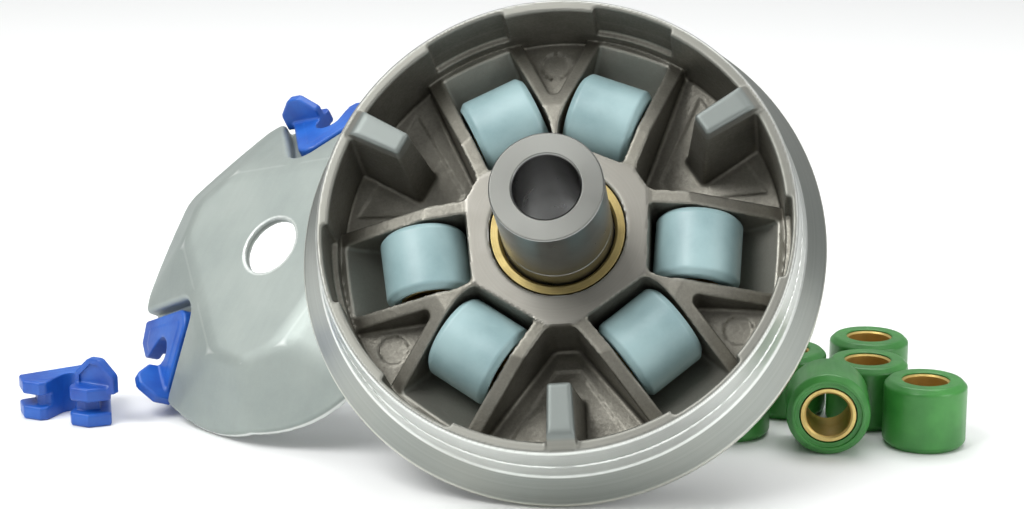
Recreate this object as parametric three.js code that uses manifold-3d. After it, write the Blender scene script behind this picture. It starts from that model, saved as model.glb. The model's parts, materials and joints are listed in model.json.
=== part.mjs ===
// A scooter CVT pulley set laid out on the ground: the open movable pulley half with its
// spacer, bush and six rollers, its ramp plate with two slide guides, one loose guide and
// six spare rollers. Millimetres, +Z up, the origin under the middle of the set.
import * as THREE from 'three';
import { mergeVertices } from 'three/addons/utils/BufferGeometryUtils.js';
import Module from 'manifold-3d';

const wasm = await Module();
wasm.setup();

// ---------------------------------------------------------------- driving dimensions
const GAP = 0.3; // running and seating gap between neighbouring pieces
const FAR = 90; // longer than any cut needs to be
const SECTORS = 3; // the pulley half and the plate repeat every 120 degrees
const SECTOR_ANGLE = 360 / SECTORS;

// Rollers: a nylon shell over a brass sleeve.
const ROLLER_RADIUS = 9.5;
const ROLLER_LENGTH = 15.3;
const ROLLER_CHAMFER = 1.1;
const SHELL_BORE_RADIUS = 6.5;
const SLEEVE_RADIUS = SHELL_BORE_RADIUS - GAP;
const SLEEVE_BORE_RADIUS = 5;
const SLEEVE_RECESS = 0.5; // how far the sleeve's ends sit inside the shell's ends

// Spacer (the steel boss the pulley half slides on) and the bronze bush around it.
const SPACER_RADIUS = 12;
const SPACER_BORE_RADIUS = 7;
const SPACER_TOP = 25.6;
const SPACER_BOTTOM = -24;
const SPACER_CHAMFER = 0.4;
const BUSH_RADIUS = 14.5;
const BUSH_BORE_RADIUS = SPACER_RADIUS + GAP;
const BUSH_TOP = -0.3;
const BUSH_BOTTOM = -24.2;
const BUSH_CHAMFER = 0.5;

// Pulley half, in its own frame: z = 0 is the hub's flat top, +Z leaves the open side.
const HUB_CORNER_RADIUS = 21.6;
const HUB_SHORT_SIDE_ANGLE = 8; // half the angle that a short side of the hub spans
const HUB_BACK_Z = -24.6;
const HUB_BACK_RADIUS = 19;
const LIP_TOP = 6.5;
const LIP_RADIUS = 51.4;
const WALL_RADIUS = 48.7; // inside of the rim wall
const GROOVE = { radius: 52.1, z: -1, depth: 0.4 }; // fine turned groove under the lip
const SHOULDER = { radius: 53.1, z: -5.7 };
const FLANGE = { radius: 57.4, top: -11.9, bottom: -14 };
const TURNED_BEVEL = 0.3; // bevel on the turned edges outside
const LIP_BEVEL = 0.4;
const DISH_RIM_Z = -12.5; // pocket floor at the wall
const DISH_HUB_Z = -17; // pocket floor at the hub
const RIB_SLOPE_RADIUS = 28.5; // rib tops are level up to here, then fall towards the wall
const RIB_SLOPE = 0.42;
const POCKET_RADIUS = 50; // the wall is relieved to this radius behind each roller
const LEDGE_Z = -5.6; // flat ledge at the outer end of each ramp
const POCKET_START_ANGLE = 11.5;
const POCKET_END_ANGLE = 32.5;

// Roller channels: each V axis has one channel on either side of it.
const CHANNEL_ANGLE = 23.5;
const CHANNEL_INNER_SIDE = -9.5; // towards the V axis
const CHANNEL_OUTER_SIDE = 7.6; // towards the post
const ROLLER_OFFSET = -0.75;
const INNER_RIB = 2.5; // rib thickness beside the V pocket
const OUTER_RIB = 2.7; // rib thickness beside the post pocket
const STEM = 0.9; // thin web between the hub and the tip of the V
const V_POCKET_Z = -10.5;
const WALL_POCKET_DEPTH = 6; // how far inwards the relief behind a roller starts
const V_TIP_RADIUS = 1.6;

// The trapezoid sunk into each post pocket's floor: half widths at two radii.
const SUNKEN = { inner: 27, innerHalf: 2.6, outer: 44.5, outerHalf: 13.5, depth: 0.5 };

// Roller path: a straight stroke whose ends both rest on a hollow, round ramp.
const STROKE_START = { out: 29.8, up: -8.7 };
const STROKE_END = { out: 38.6, up: -2.4 };
const RAMP_PATH_RADIUS = 25;

// Guide posts, cast on the floor between the ribs. They stand a little higher than the lip.
const POST = { top: 9.2, innerTop: 36.8, innerFoot: 34, halfWidth: 2.9, footHalfWidth: 4.2 };
const POST_BEVEL = { start: 47.4, end: 48.4, drop: 0.5 }; // at the outer end of the top
const POST_OUTER = 50.6; // radius at which the outer slope runs into the lip
const POST_ROOT = 1; // how far a post's foot reaches into the floor

// Ramp plate, in its own frame: z = 0 is its flat top, +Z leaves its outer side.
const PLATE_RADIUS = 43.7;
const PLATE_THICKNESS = 2.2;
const PLATE_HOLE_RADIUS = 7.2;
const RAMP_FACET = { distance: 28.6, slope: 34, offset: 21 }; // offset: angle off the ridge
const SLOT_FACET = { distance: 22.5, slope: 26 };
const SLOT_HALF_ANGLE = 34;
const SLOT_APEX = 22.4; // radius at which the slot's straight sides would meet
const SLOT_END_RADIUS = 4;
const LEDGE_WIDTH = 2.6; // each slot is bordered by a ledge that fits the guide's groove
const SEAT_DEPTH = 4; // how far the ledge's top lies below the facet round it

// Slide guide, in its own frame: z = 0 is the middle of its groove, +X leaves the slot.
const GUIDE_GROOVE = PLATE_THICKNESS + 2 * GAP;
const GUIDE_FLANGE = 3.3;
const GUIDE_CHANNEL_HALF_WIDTH = POST.halfWidth + GAP;
const GUIDE_CHANNEL_END = 13; // the channel's closed end, measured from the slot's apex
const GUIDE_TIP = 46; // outer end of the legs
const GUIDE_HALF_WIDTH = 14;
const GUIDE_CORNER = 5; // chamfer at the outer corners of the legs
const GUIDE_MOUTH = 1.2; // chamfer at the mouth of the channel
const GUIDE_CORE_SET_BACK = 2.4; // how far the core stops short of the flanges at the leg ends
const GUIDE_PULLED_OUT = 3; // how far the two fitted guides stand out of their slots
const GUIDE_WALL = { height: 6.4, thickness: 2.2, setBack: 4.6, side: 14, chamfer: 3.8 };

// Layout on the ground. turn: degrees a piece's +Z faces to the left of the front (-Y);
// tilt: degrees it looks up; roll: degrees it is turned about its own +Z.
const PULLEY_POSE = { x: 0, y: 0, turn: 7.5, tilt: 33.6, roll: 5.5 };
const PLATE_POSE = { x: -66, y: 42, turn: 42.1, tilt: 39.5, roll: 0 };
const V_AXES = [90, 210, 330];
const SLOT_AXES = [107.7, 227.7, 347.7];
const LOOSE_GUIDE_POSE = { x: -112, y: 46, heading: -114 };
const SPARE_ROLLERS = [
  { x: 84.4, y: 22.8 },
  { x: 73.5, y: 39.2 },
  { x: 76.7, y: 59 },
  { x: 55.5, y: 48 },
  { x: 40.5, y: 31 },
  { x: 62, y: 20.8, lying: true, heading: -96 },
];

const LATHE_SEGMENTS = 96;
const SMALL_SEGMENTS = 48;
const ROLLER_SEGMENTS = 24;

const rad = THREE.MathUtils.degToRad;

// ---------------------------------------------------------------- materials
const finishes = {
  casting: { color: 0x8e8c82, roughness: 0.5, metalness: 0.85 },
  bronze: { color: 0xa08c58, roughness: 0.4, metalness: 0.9 },
  steel: { color: 0x9a9a95, roughness: 0.25, metalness: 1 },
  plate: { color: 0xb4beb6, roughness: 0.35, metalness: 0.8 },
  brass: { color: 0xd2a850, roughness: 0.3, metalness: 0.95 },
  paleNylon: { color: 0x9fb8b9, roughness: 0.45, metalness: 0 },
  greenNylon: { color: 0x3f8a49, roughness: 0.4, metalness: 0 },
  blueNylon: { color: 0x3561c0, roughness: 0.4, metalness: 0 },
};

function makeMesh(name, geometry, finish) {
  const mesh = new THREE.Mesh(geometry, new THREE.MeshStandardMaterial(finishes[finish]));
  mesh.name = name;
  return mesh;
}

// ---------------------------------------------------------------- solids
function enclosedVolume(positions, triangles) {
  const corners = [new THREE.Vector3(), new THREE.Vector3(), new THREE.Vector3()];
  let volume = 0;
  for (let i = 0; i < triangles.length; i += 3) {
    corners.forEach((corner, k) => corner.fromArray(positions, 3 * triangles[i + k]));
    volume += corners[0].dot(corners[1].cross(corners[2])) / 6;
  }
  return volume;
}

function toSolid(geometry) {
  const plain = geometry.clone();
  plain.deleteAttribute('normal');
  plain.deleteAttribute('uv');
  const merged = mergeVertices(plain, 1e-4);
  const positions = Float32Array.from(merged.attributes.position.array);
  const triangles = [];
  const index = merged.index.array;
  for (let i = 0; i < index.length; i += 3) {
    const [a, b, c] = [index[i], index[i + 1], index[i + 2]];
    if (a !== b && b !== c && c !== a) triangles.push(a, b, c);
  }
  if (enclosedVolume(positions, triangles) < 0) triangles.reverse();
  const triVerts = Uint32Array.from(triangles);
  return new wasm.Manifold(new wasm.Mesh({ numProp: 3, vertProperties: positions, triVerts }));
}

function toGeometry(solid) {
  const mesh = solid.getMesh();
  const geometry = new THREE.BufferGeometry();
  geometry.setAttribute('position', new THREE.BufferAttribute(Float32Array.from(mesh.vertProperties), 3));
  geometry.setIndex(new THREE.BufferAttribute(Uint32Array.from(mesh.triVerts), 1));
  geometry.computeVertexNormals();
  return geometry;
}

function unite(solids) {
  return solids.reduce((whole, solid) => whole.add(solid));
}

// A closed (radius, height) outline turned about Z.
function turned(outline, segments) {
  const points = outline.map(([radius, z]) => new THREE.Vector2(radius, z));
  points.push(points[0].clone());
  const geometry = new THREE.LatheGeometry(points, segments);
  geometry.rotateX(Math.PI / 2);
  return geometry;
}

// A closed (x, y) outline, or a Shape, raised from one height to another.
function prism(outline, bottom, top, curveSegments = 8) {
  const shape = outline instanceof THREE.Shape
    ? outline
    : new THREE.Shape(outline.map(([x, y]) => new THREE.Vector2(x, y)));
  const depth = top - bottom;
  const geometry = new THREE.ExtrudeGeometry(shape, { depth, bevelEnabled: false, curveSegments });
  geometry.translate(0, 0, bottom);
  return geometry;
}

// An (x, z) side outline given a thickness along Y, centred on y = 0.
function sidePrism(outline, halfWidth, curveSegments = 8) {
  const geometry = prism(outline, -halfWidth, halfWidth, curveSegments);
  geometry.rotateX(Math.PI / 2);
  return geometry;
}

// A shape that comes in from +X, rounds a tip on the X axis and leaves again.
function roundTipped(centre, round, from, to, farPoint) {
  const shape = new THREE.Shape();
  shape.moveTo(farPoint[0], farPoint[1]);
  shape.lineTo(centre + round * Math.cos(from), round * Math.sin(from));
  shape.absarc(centre, 0, round, from, to, false);
  shape.lineTo(farPoint[0], -farPoint[1]);
  return shape;
}

function turnedAboutZ(geometry, degrees) {
  return geometry.clone().rotateZ(rad(degrees));
}

function disc(radius, bottom, top, segments) {
  return turned([[0, bottom], [radius, bottom], [radius, top], [0, top]], segments);
}

// ---------------------------------------------------------------- pulley half
// A point given along and across a channel that leaves its V axis (+X) by CHANNEL_ANGLE.
// side is +1 or -1; across is positive away from the V axis.
function channelPoint(along, across, side) {
  const angle = rad(CHANNEL_ANGLE);
  const x = along * Math.cos(angle) - across * Math.sin(angle);
  const y = along * Math.sin(angle) + across * Math.cos(angle);
  return [x, side * y];
}

function hubCorner(side) {
  const angle = rad(SECTOR_ANGLE / 2 - HUB_SHORT_SIDE_ANGLE);
  return [HUB_CORNER_RADIUS * Math.cos(angle), side * HUB_CORNER_RADIUS * Math.sin(angle)];
}

// Where the line from one point to another crosses the long side of the hub.
function onHubFlat(from, to, side) {
  const corner = hubCorner(side);
  const beyond = ([x, y]) => (x - HUB_CORNER_RADIUS) * corner[1] - y * (corner[0] - HUB_CORNER_RADIUS);
  const share = beyond(from) / (beyond(from) - beyond(to));
  return [from[0] + share * (to[0] - from[0]), from[1] + share * (to[1] - from[1])];
}

// Where the line through a channel point, parallel to the channel, meets the V axis's
// side of the thin stem.
function stemPoint(across, side) {
  const angle = rad(CHANNEL_ANGLE);
  const x = ((STEM / 2) * Math.cos(angle) - across) / Math.sin(angle);
  return [x, (side * STEM) / 2];
}

// The pulley half before it is hollowed out: filled level with the lip.
function blankProfile() {
  return [
    [BUSH_RADIUS + GAP, HUB_BACK_Z],
    [HUB_BACK_RADIUS, HUB_BACK_Z],
    [FLANGE.radius, FLANGE.bottom],
    [FLANGE.radius, FLANGE.top - TURNED_BEVEL],
    [FLANGE.radius - TURNED_BEVEL, FLANGE.top],
    [SHOULDER.radius, SHOULDER.z],
    [SHOULDER.radius - TURNED_BEVEL, SHOULDER.z + TURNED_BEVEL],
    [GROOVE.radius, GROOVE.z - TURNED_BEVEL],
    [GROOVE.radius - GROOVE.depth, GROOVE.z],
    [GROOVE.radius, GROOVE.z + TURNED_BEVEL],
    [LIP_RADIUS, LIP_TOP - LIP_BEVEL],
    [LIP_RADIUS - LIP_BEVEL, LIP_TOP],
    [BUSH_RADIUS + GAP, LIP_TOP],
  ];
}

// Everything above the hub's flat top and the falling tops of the ribs.
function aboveRibs() {
  const topAtFar = -RIB_SLOPE * (FAR - RIB_SLOPE_RADIUS);
  return toSolid(turned([
    [0, 0],
    [RIB_SLOPE_RADIUS, 0],
    [FAR, topAtFar],
    [FAR, FAR],
    [0, FAR],
  ], LATHE_SEGMENTS));
}

// Everything above the hollow ramp that the roller rests on at both ends of its stroke.
function aboveRamp(side) {
  const run = STROKE_END.out - STROKE_START.out;
  const rise = STROKE_END.up - STROKE_START.up;
  const chord = Math.hypot(run, rise);
  const drop = Math.sqrt(RAMP_PATH_RADIUS ** 2 - (chord / 2) ** 2);
  const centreOut = (STROKE_START.out + STROKE_END.out) / 2 - (drop * rise) / chord;
  const centreUp = (STROKE_START.up + STROKE_END.up) / 2 + (drop * run) / chord;
  const radius = RAMP_PATH_RADIUS + ROLLER_RADIUS + GAP;
  const endAngle = Math.asin((LEDGE_Z - centreUp) / radius);
  const shape = new THREE.Shape();
  shape.moveTo(0, FAR);
  shape.lineTo(0, centreUp - radius);
  shape.lineTo(centreOut, centreUp - radius);
  shape.absarc(centreOut, centreUp, radius, -Math.PI / 2, endAngle, false);
  shape.lineTo(FAR, LEDGE_Z);
  shape.lineTo(FAR, FAR);
  return turnedAboutZ(sidePrism(shape, FAR, 7), side * CHANNEL_ANGLE);
}

function channelCut(side) {
  const stem = stemPoint(CHANNEL_INNER_SIDE, side);
  const outerEnd = channelPoint(FAR, CHANNEL_OUTER_SIDE, side);
  const outline = [
    onHubFlat([0, stem[1]], stem, side),
    stem,
    channelPoint(FAR, CHANNEL_INNER_SIDE, side),
    outerEnd,
    onHubFlat(channelPoint(0, CHANNEL_OUTER_SIDE, side), outerEnd, side),
  ];
  const walls = toSolid(prism(outline, -FAR / 2, FAR / 2));
  return walls.intersect(toSolid(aboveRamp(side)));
}

function wallPocketCut(side) {
  const shape = new THREE.Shape();
  const from = rad(POCKET_START_ANGLE);
  const to = rad(POCKET_END_ANGLE);
  const inner = WALL_RADIUS - WALL_POCKET_DEPTH;
  shape.absarc(0, 0, POCKET_RADIUS, from, to, false);
  shape.lineTo(inner * Math.cos(to), inner * Math.sin(to));
  shape.lineTo(inner * Math.cos(from), inner * Math.sin(from));
  const solid = toSolid(prism(shape, LEDGE_Z, FAR / 2));
  return side > 0 ? solid : solid.mirror([0, 1, 0]);
}

function vPocketCut() {
  const across = CHANNEL_INNER_SIDE - INNER_RIB;
  const apex = -across / Math.sin(rad(CHANNEL_ANGLE));
  const centre = apex + V_TIP_RADIUS / Math.sin(rad(CHANNEL_ANGLE));
  const farPoint = channelPoint(FAR, across, 1);
  const ends = [rad(90 + CHANNEL_ANGLE), rad(270 - CHANNEL_ANGLE)];
  const shape = roundTipped(centre, V_TIP_RADIUS, ends[0], ends[1], farPoint);
  return toSolid(prism(shape, V_POCKET_Z, FAR / 2, 4));
}

// Everything above the dished floor, lowered by the given depth.
function aboveDish(lowered) {
  const slope = (DISH_RIM_Z - DISH_HUB_Z) / (WALL_RADIUS - HUB_CORNER_RADIUS);
  return toSolid(turned([
    [0, DISH_HUB_Z - lowered],
    [HUB_CORNER_RADIUS, DISH_HUB_Z - lowered],
    [FAR, DISH_HUB_Z - lowered + slope * (FAR - HUB_CORNER_RADIUS)],
    [FAR, FAR],
    [0, FAR],
  ], LATHE_SEGMENTS));
}

function postPocketCut() {
  const toPostAxis = ([x, y]) => {
    const angle = rad(-SECTOR_ANGLE / 2);
    return [x * Math.cos(angle) - y * Math.sin(angle), x * Math.sin(angle) + y * Math.cos(angle)];
  };
  const across = CHANNEL_OUTER_SIDE + OUTER_RIB;
  const near = toPostAxis(hubCorner(1));
  const far = toPostAxis(channelPoint(FAR, across, 1));
  const mirrored = ([x, y]) => [x, -y];
  const walls = toSolid(prism([near, far, mirrored(far), mirrored(near)], -FAR / 2, FAR / 2));
  return walls.intersect(aboveDish(0));
}

// The shallow trapezoid sunk into a post pocket's floor.
function sunkenFloorCut() {
  const { inner, innerHalf, outer, outerHalf, depth } = SUNKEN;
  const outline = [[inner, -innerHalf], [outer, -outerHalf], [outer, outerHalf], [inner, innerHalf]];
  const walls = toSolid(prism(outline, -FAR / 2, FAR / 2));
  return walls.intersect(aboveDish(depth));
}

function guidePost() {
  const side = [
    [POST.innerFoot, DISH_HUB_Z],
    [POST_OUTER, DISH_RIM_Z - POST_ROOT],
    [POST_OUTER, LIP_TOP - TURNED_BEVEL],
    [POST_BEVEL.end, POST.top - POST_BEVEL.drop],
    [POST_BEVEL.start, POST.top],
    [POST.innerTop, POST.top],
  ];
  const front = [
    [-POST.footHalfWidth, DISH_HUB_Z],
    [POST.footHalfWidth, DISH_HUB_Z],
    [POST.halfWidth, POST.top],
    [-POST.halfWidth, POST.top],
  ];
  const across = sidePrism(front, FAR).rotateZ(Math.PI / 2);
  return toSolid(sidePrism(side, FAR)).intersect(toSolid(across));
}

function repeatedAround(solid, angles) {
  return unite(angles.map((angle) => solid.rotate([0, 0, angle])));
}

function pulleyHalf() {
  const blank = toSolid(turned(blankProfile(), LATHE_SEGMENTS));
  const sides = [1, -1];
  const postAxes = V_AXES.map((angle) => angle + SECTOR_ANGLE / 2);
  const insideWall = unite([
    aboveRibs(),
    repeatedAround(unite([...sides.map(channelCut), vPocketCut()]), V_AXES),
    repeatedAround(postPocketCut().add(sunkenFloorCut()), postAxes),
  ]).intersect(toSolid(disc(WALL_RADIUS, -FAR, FAR, LATHE_SEGMENTS)));
  const wallPockets = repeatedAround(unite(sides.map(wallPocketCut)), V_AXES);
  const hollow = blank.subtract(insideWall.add(wallPockets));
  return toGeometry(hollow.add(repeatedAround(guidePost(), postAxes)));
}

function bush() {
  return turned([
    [BUSH_BORE_RADIUS, BUSH_BOTTOM],
    [BUSH_RADIUS, BUSH_BOTTOM],
    [BUSH_RADIUS, BUSH_TOP],
    [BUSH_BORE_RADIUS + BUSH_CHAMFER, BUSH_TOP],
    [BUSH_BORE_RADIUS, BUSH_TOP - BUSH_CHAMFER],
  ], SMALL_SEGMENTS);
}

function spacer() {
  return turned([
    [SPACER_BORE_RADIUS, SPACER_BOTTOM + SPACER_CHAMFER],
    [SPACER_BORE_RADIUS + SPACER_CHAMFER, SPACER_BOTTOM],
    [SPACER_RADIUS - SPACER_CHAMFER, SPACER_BOTTOM],
    [SPACER_RADIUS, SPACER_BOTTOM + SPACER_CHAMFER],
    [SPACER_RADIUS, SPACER_TOP - SPACER_CHAMFER],
    [SPACER_RADIUS - SPACER_CHAMFER, SPACER_TOP],
    [SPACER_BORE_RADIUS + SPACER_CHAMFER, SPACER_TOP],
    [SPACER_BORE_RADIUS, SPACER_TOP - SPACER_CHAMFER],
  ], SMALL_SEGMENTS);
}

// ---------------------------------------------------------------- rollers
function rollerShell() {
  const half = ROLLER_LENGTH / 2;
  return turned([
    [SHELL_BORE_RADIUS, -half],
    [ROLLER_RADIUS - ROLLER_CHAMFER, -half],
    [ROLLER_RADIUS, -half + ROLLER_CHAMFER],
    [ROLLER_RADIUS, half - ROLLER_CHAMFER],
    [ROLLER_RADIUS - ROLLER_CHAMFER, half],
    [SHELL_BORE_RADIUS, half],
  ], ROLLER_SEGMENTS);
}

function rollerSleeve() {
  const half = ROLLER_LENGTH / 2 - SLEEVE_RECESS;
  return turned([
    [SLEEVE_BORE_RADIUS, -half],
    [SLEEVE_RADIUS, -half],
    [SLEEVE_RADIUS, half],
    [SLEEVE_BORE_RADIUS, half],
  ], ROLLER_SEGMENTS);
}

// A roller standing on one end, its axis along +Z.
function roller(name, finish) {
  const group = new THREE.Group();
  group.add(makeMesh(`${name}_shell`, rollerShell(), finish));
  group.add(makeMesh(`${name}_sleeve`, rollerSleeve(), 'brass'));
  return group;
}

// ---------------------------------------------------------------- ramp plate
// A half space below a plane that falls away from the axis: its top meets z = 0 at
// `distance` along `angle` and slopes down by `slope` degrees beyond it.
function belowFacet({ distance, slope }, angle, lowered) {
  const fall = Math.tan(rad(slope));
  const drop = lowered / Math.cos(rad(slope));
  const outline = [
    [-FAR, -FAR],
    [FAR, -FAR],
    [FAR, -fall * (FAR - distance) - drop],
    [-FAR, -fall * (-FAR - distance) - drop],
  ];
  return toSolid(turnedAboutZ(sidePrism(outline, FAR), angle));
}

// The plate's dome as a filled body, its surfaces lowered by the given amount.
function plateDome(lowered, radius) {
  let dome = toSolid(disc(radius, -FAR / 2, -lowered, LATHE_SEGMENTS));
  for (const slotAxis of SLOT_AXES) {
    const ridge = slotAxis + SECTOR_ANGLE / 2;
    dome = dome.intersect(belowFacet(SLOT_FACET, slotAxis, lowered));
    dome = dome.intersect(belowFacet(RAMP_FACET, ridge - RAMP_FACET.offset, lowered));
    dome = dome.intersect(belowFacet(RAMP_FACET, ridge + RAMP_FACET.offset, lowered));
  }
  return dome;
}

// The V with a rounded tip, widened all round by `grow`, opening towards +X.
function slotShape(grow) {
  const half = rad(SLOT_HALF_ANGLE);
  const round = SLOT_END_RADIUS + grow;
  const centre = SLOT_APEX + SLOT_END_RADIUS / Math.sin(half);
  const endY = (FAR - centre) * Math.tan(half) + round / Math.cos(half);
  return roundTipped(centre, round, Math.PI / 2 + half, (3 * Math.PI) / 2 - half, [FAR, endY]);
}

// The slot's shape laid in the plane of the slot facet.
function inSlotFacet(geometry) {
  const slope = rad(SLOT_FACET.slope);
  geometry.translate(-SLOT_FACET.distance, 0, 0);
  geometry.rotateY(slope);
  geometry.translate(SLOT_FACET.distance, 0, 0);
  return geometry;
}

// The slot's shape, grown by an amount, raised through the sheet at all three slots.
function slotPrisms(grow, bottom) {
  const prismAtSlot = inSlotFacet(prism(slotShape(grow), bottom, FAR / 4));
  return unite(SLOT_AXES.map((angle) => toSolid(turnedAboutZ(prismAtSlot, angle))));
}

// A domed sheet whose slots are bordered by a sunk ledge.
function rampPlate() {
  const filled = plateDome(0, PLATE_RADIUS);
  const shell = filled.subtract(plateDome(PLATE_THICKNESS, FAR));
  const cups = slotPrisms(PLATE_THICKNESS, -SEAT_DEPTH - PLATE_THICKNESS).intersect(filled);
  const seats = slotPrisms(0, -SEAT_DEPTH);
  const slots = slotPrisms(-LEDGE_WIDTH, -FAR / 4);
  const hole = toSolid(disc(PLATE_HOLE_RADIUS, -FAR / 2, FAR / 2, SMALL_SEGMENTS));
  return toGeometry(shell.add(cups).subtract(seats).subtract(slots).subtract(hole));
}

// ---------------------------------------------------------------- slide guides
// One level of the guide: the slot's shape changed by `grow`, cut off at the leg ends.
function guideLayer(grow, bottom, top, setBack) {
  const tip = GUIDE_TIP - setBack;
  const w = GUIDE_HALF_WIDTH - setBack;
  const half = GUIDE_CHANNEL_HALF_WIDTH;
  const oneSide = [
    [0, w],
    [tip - GUIDE_CORNER, w],
    [tip, w - GUIDE_CORNER],
    [tip, half + GUIDE_MOUTH],
    [tip - GUIDE_MOUTH, half],
  ];
  const otherSide = oneSide.map(([x, y]) => [x, -y]).reverse();
  const front = toSolid(prism([...oneSide, ...otherSide], bottom, top));
  return toSolid(prism(slotShape(grow), bottom, top)).intersect(front);
}

// The wall that stands across one leg of the guide.
function guideWall() {
  const { height, thickness, setBack, side, chamfer } = GUIDE_WALL;
  const bottom = GUIDE_GROOVE / 2;
  const top = bottom + GUIDE_FLANGE + height;
  const start = GUIDE_CHANNEL_HALF_WIDTH;
  const outline = [
    [start, bottom + GUIDE_FLANGE / 2],
    [side, bottom + GUIDE_FLANGE / 2],
    [side, top - chamfer],
    [side - chamfer, top],
    [start + chamfer, top],
    [start, top - chamfer],
  ];
  const geometry = sidePrism(outline, thickness / 2);
  geometry.rotateZ(Math.PI / 2);
  geometry.translate(GUIDE_TIP - setBack, 0, 0);
  return toSolid(geometry);
}

// The channel that slides along a post of the pulley half, open at the guide's mouth.
function guideChannel() {
  const centre = SLOT_APEX + GUIDE_CHANNEL_END + GUIDE_CHANNEL_HALF_WIDTH;
  const half = GUIDE_CHANNEL_HALF_WIDTH;
  const shape = roundTipped(centre, half, Math.PI / 2, (3 * Math.PI) / 2, [FAR, half]);
  return toSolid(prism(shape, -FAR / 2, FAR / 2, 6));
}

function slideGuide() {
  const inner = GUIDE_GROOVE / 2;
  const outer = inner + GUIDE_FLANGE;
  const body = unite([
    guideLayer(-LEDGE_WIDTH - GAP, -outer, outer, GUIDE_CORE_SET_BACK),
    guideLayer(-GAP, inner, outer, 0),
    guideLayer(-GAP, -outer, -inner, 0),
    guideWall(),
  ]);
  return toGeometry(body.subtract(guideChannel()));
}

// ---------------------------------------------------------------- placing
function faceToward(object, { turn, tilt, roll }) {
  const facing = new THREE.Vector3(
    -Math.sin(rad(turn)) * Math.cos(rad(tilt)),
    -Math.cos(rad(turn)) * Math.cos(rad(tilt)),
    Math.sin(rad(tilt)),
  );
  const right = new THREE.Vector3(0, 0, 1).cross(facing).normalize();
  const up = facing.clone().cross(right);
  object.quaternion.setFromRotationMatrix(new THREE.Matrix4().makeBasis(right, up, facing));
  object.rotateZ(rad(roll));
}

// Puts a group at a place on the ground, resting on its lowest point.
function restOnGround(group, x, y) {
  group.position.set(x, y, 0);
  group.updateMatrixWorld(true);
  group.position.z = -new THREE.Box3().setFromObject(group, true).min.z;
}

function pulleyAssembly() {
  const group = new THREE.Group();
  group.add(makeMesh('pulley_half', pulleyHalf(), 'casting'));
  group.add(makeMesh('hub_bush', bush(), 'bronze'));
  group.add(makeMesh('spacer', spacer(), 'steel'));
  V_AXES.forEach((vAxis, sector) => {
    [1, -1].forEach((side, k) => {
      const holder = roller(`roller_${2 * sector + k + 1}`, 'paleNylon');
      const [x, y] = channelPoint(STROKE_START.out, ROLLER_OFFSET, side);
      const arm = new THREE.Group();
      holder.position.set(x, y, STROKE_START.up);
      holder.rotation.set(Math.PI / 2, 0, 0);
      holder.rotateOnWorldAxis(new THREE.Vector3(0, 0, 1), rad(side * CHANNEL_ANGLE));
      arm.rotation.z = rad(vAxis);
      arm.add(holder);
      group.add(arm);
    });
  });
  faceToward(group, PULLEY_POSE);
  restOnGround(group, PULLEY_POSE.x, PULLEY_POSE.y);
  return group;
}

function plateAssembly() {
  const group = new THREE.Group();
  group.add(makeMesh('ramp_plate', rampPlate(), 'plate'));
  const fitted = SLOT_AXES.slice(0, 2);
  fitted.forEach((angle, k) => {
    const geometry = slideGuide();
    geometry.translate(GUIDE_PULLED_OUT, 0, -SEAT_DEPTH - PLATE_THICKNESS / 2);
    const arm = new THREE.Group();
    arm.rotation.z = rad(angle);
    arm.add(makeMesh(`slide_guide_${k + 1}`, inSlotFacet(geometry), 'blueNylon'));
    group.add(arm);
  });
  faceToward(group, PLATE_POSE);
  restOnGround(group, PLATE_POSE.x, PLATE_POSE.y);
  return group;
}

function looseGuide() {
  const group = new THREE.Group();
  const geometry = slideGuide();
  geometry.center();
  group.add(makeMesh('slide_guide_3', geometry, 'blueNylon'));
  group.rotation.z = rad(LOOSE_GUIDE_POSE.heading);
  restOnGround(group, LOOSE_GUIDE_POSE.x, LOOSE_GUIDE_POSE.y);
  return group;
}

function spareRollers() {
  return SPARE_ROLLERS.map(({ x, y, lying, heading }, k) => {
    const group = roller(`spare_roller_${k + 1}`, 'greenNylon');
    if (lying) {
      group.rotation.set(0, Math.PI / 2, 0);
      group.rotateOnWorldAxis(new THREE.Vector3(0, 0, 1), rad(heading));
    }
    restOnGround(group, x, y);
    return group;
  });
}

// ---------------------------------------------------------------- the whole set
const set = new THREE.Group();
set.add(pulleyAssembly(), plateAssembly(), looseGuide(), ...spareRollers());
set.updateMatrixWorld(true);
const bounds = new THREE.Box3().setFromObject(set, true);
const middle = bounds.getCenter(new THREE.Vector3());
set.position.set(-middle.x, -middle.y, -bounds.min.z);

export default set;
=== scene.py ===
"""Looks of the scooter CVT pulley set: fine meshes, procedural materials, light and camera.

Every piece is built in millimetres in its own axes, which are the CAD part's own axes for
that piece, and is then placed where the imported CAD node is.
"""
import json
import math

import bpy
import numpy as np
from mathutils import Matrix, Vector


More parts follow.
